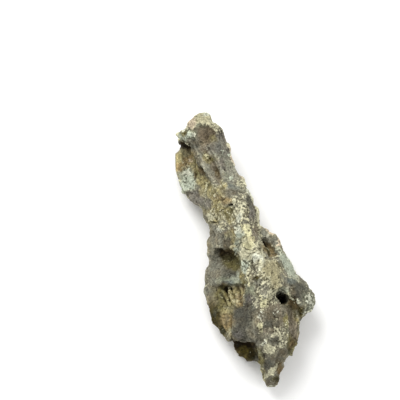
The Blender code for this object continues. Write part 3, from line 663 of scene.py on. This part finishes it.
# Relief: the crust's flakes, pits, folds and grain, as real shape. Sizes are in mm.
reliefSizes = {
    "Crest Gain": 0.6,
    "Lump Size": 6.5, "Lump Height": 0.9,
    "Flake Size": 6.0, "Lace Size": 1.7, "Flake Height": 0.55,
    "Bowl Size": 4.8, "Bowl Depth": 2.2,
    "Pit Size": 2.5, "Pit Depth": 0.9,
    "Fold Size": 3.2, "Fold Height": 1.0,
    "Ridge Size": 8.0, "Ridge Height": 0.9,
    "Grain Size": 2.2, "Grain Height": 0.9,
    "Seed": 7.0,
}
plainNumbers = ("Crest Gain", "Seed")   # the inputs above that aren't in mm
blurRounds = {"crest": 25, "edge": 6, "rise": 60}   # how wide each look around a point is
crustShape = {
    "laceWeight": 1.4,      # fine holes against broad flakes
    "limit": (1.6, 0.86),   # what the noise must pass, where crust is 0 and where it is 1
    "rim": (-0.05, 0.08),   # how soft a flake's edge is
}


def spread(tree, place, size, shift):
    # A pattern's own coordinates: the place over the pattern's size, moved on by the seed.
    share = addNode(tree, "ShaderNodeMath", {0: 1.0, 1: size}, operation="DIVIDE")
    scaled = addNode(tree, "ShaderNodeVectorMath", {0: place, "Scale": share}, operation="SCALE")
    return addNode(tree, "ShaderNodeVectorMath", {0: scaled, 1: shift}, operation="ADD")


def crustMask(tree, crust, flakeCell, laceCell):
    # How far the crust is above its limit, and 1 where it is left: broad flakes, holed like lace, with
    # more left where crust is high. The relief and the material both build it, so that the colour
    # lies on the shape.
    flakes = addNode(
        tree, "ShaderNodeTexNoise",
        {"Vector": flakeCell, "Scale": 1.0, "Detail": 2.0, "Roughness": 0.55, "Distortion": 0.7},
    )
    lace = addNode(
        tree, "ShaderNodeTexNoise",
        {"Vector": laceCell, "Scale": 1.0, "Detail": 3.0, "Roughness": 0.62, "Distortion": 0.4},
    )
    both = addNode(
        tree, "ShaderNodeMath", {0: lace, 1: crustShape["laceWeight"], 2: flakes}, operation="MULTIPLY_ADD"
    )
    bareLimit, fullLimit = crustShape["limit"]
    limit = addNode(tree, "ShaderNodeMapRange", {"Value": crust, "To Min": bareLimit, "To Max": fullLimit})
    above = addNode(tree, "ShaderNodeMath", {0: both, 1: limit}, operation="SUBTRACT")
    outside, inside = crustShape["rim"]
    left = addNode(
        tree, "ShaderNodeMapRange", {"Value": above, "From Min": outside, "From Max": inside},
        interpolation_type="SMOOTHSTEP",
    )
    return above, left


def crestedNoise(tree, cell):
    # Noise folded about its middle: sharp crests with round valleys, from -0.5 to 0.5.
    field = addNode(
        tree, "ShaderNodeTexNoise",
        {"Vector": cell, "Scale": 1.0, "Detail": 2.0, "Roughness": 0.5, "Distortion": 0.6},
    )
    middle = addNode(tree, "ShaderNodeMath", {0: field, 1: 0.5}, operation="SUBTRACT")
    sides = addNode(tree, "ShaderNodeMath", {0: middle}, operation="ABSOLUTE")
    return addNode(
        tree, "ShaderNodeMapRange",
        {"Value": sides, "From Min": 0.0, "From Max": 0.2, "To Min": 0.5, "To Max": -0.5},
    )


def reliefTree(material):
    tree = bpy.data.node_groups.new("stoneRelief", "GeometryNodeTree")
    tree.interface.new_socket(name="Geometry", in_out="INPUT", socket_type="NodeSocketGeometry")
    for name in reliefSizes:
        tree.interface.new_socket(name=name, in_out="INPUT", socket_type="NodeSocketFloat")
    tree.interface.new_socket(name="Geometry", in_out="OUTPUT", socket_type="NodeSocketGeometry")
    given = addNode(tree, "NodeGroupInput").outputs
    position = addNode(tree, "GeometryNodeInputPosition")
    normal = addNode(tree, "GeometryNodeInputNormal")
    named = {
        name: addNode(tree, "GeometryNodeInputNamedAttribute", {"Name": name}, data_type=kind)
        for name, kind in (
            ("grain", "FLOAT_VECTOR"), ("crust", "FLOAT"), ("fold", "FLOAT"),
            ("pitting", "FLOAT"), ("lump", "FLOAT"),
        )
    }
    cells = {
        name: spread(tree, source, given[name + " Size"], given["Seed"])
        for name, source in (
            ("Lump", position), ("Flake", position), ("Lace", position), ("Pit", position),
            ("Bowl", position), ("Fold", named["grain"]), ("Ridge", named["grain"]), ("Grain", position),
        )
    }
    flake = crustMask(tree, named["crust"], cells["Flake"], cells["Lace"])[1]

    # Lumps: soft swellings.
    lumpNoise = addNode(
        tree, "ShaderNodeTexNoise", {"Vector": cells["Lump"], "Scale": 1.0, "Detail": 2.0, "Roughness": 0.5}
    )
    lumpShape = addNode(
        tree, "ShaderNodeMapRange",
        {"Value": lumpNoise, "From Min": 0.3, "From Max": 0.7, "To Min": -0.5, "To Max": 0.5},
    )

    # Bowls: small hollows side by side, with sharp rims between them, as water wears them.
    bowls = addNode(tree, "ShaderNodeTexVoronoi", {"Vector": cells["Bowl"], "Scale": 1.0, "Randomness": 1.0})
    bowlShape = addNode(
        tree, "ShaderNodeMapRange",
        {"Value": bowls, "From Min": 0.1, "From Max": 0.8, "To Min": -0.5, "To Max": 0.5},
    )

    # Pits: the middles of small cells, in some places only.
    pits = addNode(tree, "ShaderNodeTexVoronoi", {"Vector": cells["Pit"], "Scale": 1.0, "Randomness": 1.0})
    pitCore = addNode(
        tree, "ShaderNodeMapRange",
        {"Value": pits, "From Min": 0.16, "From Max": 0.46, "To Min": 1.0, "To Max": 0.0},
        interpolation_type="SMOOTHSTEP",
    )
    pitChoice = addNode(tree, "FunctionNodeSeparateColor", {0: pits.outputs["Color"]})
    pitReach = addNode(tree, "ShaderNodeMath", {0: named["pitting"], 1: pitChoice}, operation="SUBTRACT")
    pitOn = addNode(tree, "ShaderNodeMapRange", {"Value": pitReach, "From Min": -0.12, "From Max": 0.05})
    pit = addNode(tree, "ShaderNodeMath", {0: pitCore, 1: pitOn}, operation="MULTIPLY")

    # Folds and ridges: sharp-crested wrinkles along the grain. Grain: fine unevenness all over.
    foldShape = crestedNoise(tree, cells["Fold"])
    ridgeShape = crestedNoise(tree, cells["Ridge"])
    grainNoise = addNode(
        tree, "ShaderNodeTexNoise", {"Vector": cells["Grain"], "Scale": 1.0, "Detail": 3.0, "Roughness": 0.6}
    )
    grainShape = addNode(tree, "ShaderNodeMath", {0: grainNoise, 1: 0.5}, operation="SUBTRACT")

    # All of them together, along the normal.
    total = None
    for shape, height, amount in (
        (lumpShape, "Lump Height", named["lump"]),
        (flake, "Flake Height", None),
        (foldShape, "Fold Height", named["fold"]),
        (ridgeShape, "Ridge Height", None),
        (bowlShape, "Bowl Depth", named["lump"]),
        (grainShape, "Grain Height", None),
        (pit, "Pit Depth", None),
    ):
        part = addNode(tree, "ShaderNodeMath", {0: shape, 1: given[height]}, operation="MULTIPLY")
        if amount:
            part = addNode(tree, "ShaderNodeMath", {0: part, 1: amount}, operation="MULTIPLY")
        if total:
            how = "SUBTRACT" if height == "Pit Depth" else "ADD"
            part = addNode(tree, "ShaderNodeMath", {0: total, 1: part}, operation=how)
        total = part
    offset = addNode(tree, "ShaderNodeVectorMath", {0: normal, "Scale": total}, operation="SCALE")

    # Crests and creases are made keener: each point goes further from the mean of those around it.
    apart = {}
    for name, rounds in blurRounds.items():
        around = addNode(
            tree, "GeometryNodeBlurAttribute", {"Value": position, "Iterations": rounds},
            data_type="FLOAT_VECTOR",
        )
        apart[name] = addNode(tree, "ShaderNodeVectorMath", {0: position, 1: around}, operation="SUBTRACT")
    keener = addNode(
        tree, "ShaderNodeVectorMath", {0: apart["crest"], "Scale": given["Crest Gain"]}, operation="SCALE"
    )
    offset = addNode(tree, "ShaderNodeVectorMath", {0: offset, 1: keener}, operation="ADD")

    # What the colours need is kept on the points: the pits, from before the points move, and then how
    # far each point stands proud of its surroundings, near and far.
    geometry = addNode(
        tree, "GeometryNodeStoreNamedAttribute",
        {"Geometry": given["Geometry"], "Name": "pit", "Value": pit}, domain="POINT",
    )
    geometry = addNode(tree, "GeometryNodeSetPosition", {"Geometry": geometry, "Offset": offset})
    for name in ("edge", "rise"):
        height = addNode(tree, "ShaderNodeVectorMath", {0: apart[name], 1: normal}, operation="DOT_PRODUCT")
        geometry = addNode(
            tree, "GeometryNodeStoreNamedAttribute",
            {"Geometry": geometry, "Name": name, "Value": height.outputs["Value"]}, domain="POINT",
        )
    real = addNode(tree, "GeometryNodeRealizeInstances", {"Geometry": geometry})
    dressed = addNode(tree, "GeometryNodeSetMaterial", {"Geometry": real, "Material": material})
    addNode(tree, "NodeGroupOutput", {"Geometry": dressed})
    return tree


def addRelief(obj, material):
    tree = reliefTree(material)
    relief = obj.modifiers.new("relief", "NODES")
    relief.node_group = tree
    for item in tree.interface.items_tree:
        if item.in_out == "INPUT" and item.name in reliefSizes:
            unit = 1 if item.name in plainNumbers else mm
            relief[item.identifier] = reliefSizes[item.name] * unit
    return applied(obj)


# Hardened clay and silt, worn by water: matt, mottled, pale where it stands proud, with brown earth in its
# pits, cracks and creases, painted shade in its creases and hollows, and a painted highlight on its edges.
stoneFinish = {
    "mottle": 9.0, "speck": 1.4, "streak": 3.0,   # mm
    "crumb": 1.2,                            # mm: silt is finer, and is drawn coarse enough to show
    "bumpStrength": 0.9, "bumpDepth": 0.6,   # the depth is in mm
    "warm": "#938462", "cool": "#868C80",    # what the mottle drifts towards
    "warmShare": 0.45, "coolShare": 0.4,
    "streakShade": (0.72, 1.28), "speckShade": (0.4, 1.58), "freckleShade": (0.5, 1.3),
    "veil": 0.32,                            # the thin dust around thick crust
    "edge": (0.05, 0.45), "rubAndHighlightGain": 1.55,  # mm proud at which rubbing and the painted highlight start and are full
    "dirt": "#2A2110",                       # dark brown earth, and the colour of the painted shade
    "crease": (0.05, 0.7, 0.8),              # mm deep at which dirt and painted shade start and are full, and how much
    # painted shade in broad hollows: mm deep at which it starts and is full, and how much
    "hollow": (2, 9, 0.45),
    "pitDirt": 0.95, "seamDirt": 0.7, "gapDirtAndShade": 0.85,
    "depth": 0.7,                            # all the colours are darkened to this
    "roughness": 0.88, "specular": 0.12,     # dry and matt, with hardly any sheen
}


def claystone():
    material = bpy.data.materials.new("wornClaystone")
    material.use_nodes = True
    tree = material.node_tree
    shader = tree.nodes["Principled BSDF"]
    place = addNode(tree, "ShaderNodeTexCoord").outputs["Object"]
    named = {
        name: addNode(tree, "ShaderNodeAttribute", attribute_name=name).outputs[output]
        for name, output in (
            ("bodyTint", "Color"), ("crustTint", "Color"), ("grain", "Vector"), ("rest", "Vector"),
            ("crust", "Fac"), ("pit", "Fac"), ("edge", "Fac"), ("rise", "Fac"), ("dirt", "Fac"),
            ("lump", "Fac"),
        )
    }
    flakeCell, laceCell = (
        spread(tree, named["rest"], reliefSizes[name] * mm, [reliefSizes["Seed"]] * 3)
        for name in ("Flake Size", "Lace Size")
    )
    above, flake = crustMask(tree, named["crust"], flakeCell, laceCell)
    mottle, speck, streak, crumb = (
        addNode(
            tree, "ShaderNodeTexNoise",
            {"Vector": source, "Scale": perMm / stoneFinish[name], "Detail": detail, "Roughness": rough},
        )
        for name, source, detail, rough in (
            ("mottle", place, 4.0, 0.6), ("speck", place, 3.0, 0.65),
            ("streak", named["grain"], 3.0, 0.6), ("crumb", place, 4.0, 0.7),
        )
    )

    # The body: its stain, drifting warm and cool where it is lumpy, streaked along the grain.
    unevenness = addNode(
        tree, "ShaderNodeMapRange", {"Value": named["lump"], "From Min": 0.1, "From Max": 0.4, "To Min": 0.2}
    )
    colour = named["bodyTint"]
    for name, full in (("warm", 0.75), ("cool", 0.28)):
        share = addNode(
            tree, "ShaderNodeMapRange",
            {"Value": mottle, "From Min": 0.5, "From Max": full, "To Max": stoneFinish[name + "Share"]},
        )
        share = addNode(tree, "ShaderNodeMath", {0: share, 1: unevenness}, operation="MULTIPLY")
        colour = addNode(
            tree, "ShaderNodeMix", {0: share, 6: colour, 7: linearColour(stoneFinish[name]) + [1]},
            data_type="RGBA",
        ).outputs[2]
    for name, source in (("streakShade", streak), ("speckShade", speck)):
        low, high = stoneFinish[name]
        shade = addNode(
            tree, "ShaderNodeMapRange",
            {"Value": source, "From Min": 0.3, "From Max": 0.7, "To Min": low, "To Max": high},
        )
        colour = addNode(
            tree, "ShaderNodeMix", {0: 1.0, 6: colour, 7: shade}, data_type="RGBA", blend_type="MULTIPLY"
        ).outputs[2]

    # A thin veil of the crust's dust, and the crust itself, freckled.
    veil = addNode(
        tree, "ShaderNodeMapRange",
        {"Value": named["crust"], "From Min": 0.2, "From Max": 0.8, "To Max": stoneFinish["veil"]},
    )
    low, high = stoneFinish["freckleShade"]
    freckle = addNode(
        tree, "ShaderNodeMapRange",
        {"Value": speck, "From Min": 0.34, "From Max": 0.66, "To Min": low, "To Max": high},
    )
    crust = addNode(
        tree, "ShaderNodeMix", {0: 1.0, 6: named["crustTint"], 7: freckle},
        data_type="RGBA", blend_type="MULTIPLY",
    ).outputs[2]
    for share in (veil, flake):
        colour = addNode(
            tree, "ShaderNodeMix", {0: share, 6: colour, 7: crust}, data_type="RGBA"
        ).outputs[2]

    # Paler on edges: rubbed, and a painted highlight where crests catch the light.
    start, full = stoneFinish["edge"]
    rubbedAndHighlit = addNode(
        tree, "ShaderNodeMapRange", {"Value": named["edge"], "From Min": start * mm, "From Max": full * mm}
    )
    rubbedAndHighlit = addNode(tree, "ShaderNodeMath", {0: rubbedAndHighlit, 1: unevenness}, operation="MULTIPLY")
    colour = addNode(
        tree, "ShaderNodeMix", {0: rubbedAndHighlit, 6: colour, 7: [stoneFinish["rubAndHighlightGain"]] * 3 + [1]},
        data_type="RGBA", blend_type="MULTIPLY",
    ).outputs[2]

    # Brown earth in pits and seams. In creases and in the gaps of thick crust the same dark colour is dirt
    # and painted shade, and in hollows it is painted shade.
    crease, hollow = (
        addNode(
            tree, "ShaderNodeMapRange",
            {"Value": named[name], "From Min": -start * mm, "From Max": -full * mm, "To Max": share},
        )
        for name, (start, full, share) in (("edge", stoneFinish["crease"]), ("rise", stoneFinish["hollow"]))
    )
    bare = addNode(
        tree, "ShaderNodeMapRange", {"Value": above, "From Min": -0.03, "From Max": -0.16, "To Max": 1.0},
        interpolation_type="SMOOTHSTEP",
    )
    thick = addNode(
        tree, "ShaderNodeMapRange",
        {"Value": named["crust"], "From Min": 0.3, "From Max": 0.65, "To Max": stoneFinish["gapDirtAndShade"]},
    )
    gap = addNode(tree, "ShaderNodeMath", {0: bare, 1: thick}, operation="MULTIPLY")
    pitDirt, seamDirt = (
        addNode(tree, "ShaderNodeMath", {0: named[name], 1: share}, operation="MULTIPLY")
        for name, share in (("pit", stoneFinish["pitDirt"]), ("dirt", stoneFinish["seamDirt"]))
    )
    dirt = crease
    for more in (hollow, pitDirt, gap, seamDirt):
        dirt = addNode(tree, "ShaderNodeMath", {0: dirt, 1: more}, operation="MAXIMUM")
    colour = addNode(
        tree, "ShaderNodeMix", {0: dirt, 6: colour, 7: linearColour(stoneFinish["dirt"]) + [1]},
        data_type="RGBA",
    ).outputs[2]
    colour = addNode(
        tree, "ShaderNodeMix", {0: 1.0, 6: colour, 7: [stoneFinish["depth"]] * 3 + [1]},
        data_type="RGBA", blend_type="MULTIPLY",
    ).outputs[2]
    tree.links.new(colour, shader.inputs["Base Color"])

    # Bump: crumbs of silt and dust too fine for the mesh.
    bump = addNode(
        tree, "ShaderNodeBump",
        {"Height": crumb, "Strength": stoneFinish["bumpStrength"], "Distance": stoneFinish["bumpDepth"] * mm},
    )
    tree.links.new(bump.outputs[0], shader.inputs["Normal"])
    shader.inputs["Roughness"].default_value = stoneFinish["roughness"]
    shader.inputs["Specular IOR Level"].default_value = stoneFinish["specular"]
    return material


def keepInBox(obj, box):
    # The relief keeps to the solid's box, and the base lies flat on the floor.
    points = np.clip(vertexArray(obj.data, "co"), *np.array(box))
    obj.data.vertices.foreach_set("co", points.astype(np.float32).ravel())
    obj.data.update()
    obj.data.shade_smooth()


stone = addRelief(surface, claystone())
stone.name = stone.data.name = "stone"
print("relief:", len(stone.data.polygons), "faces")
keepInBox(stone, cadBox)
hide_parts("dragon_stone")
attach(stone, "root")
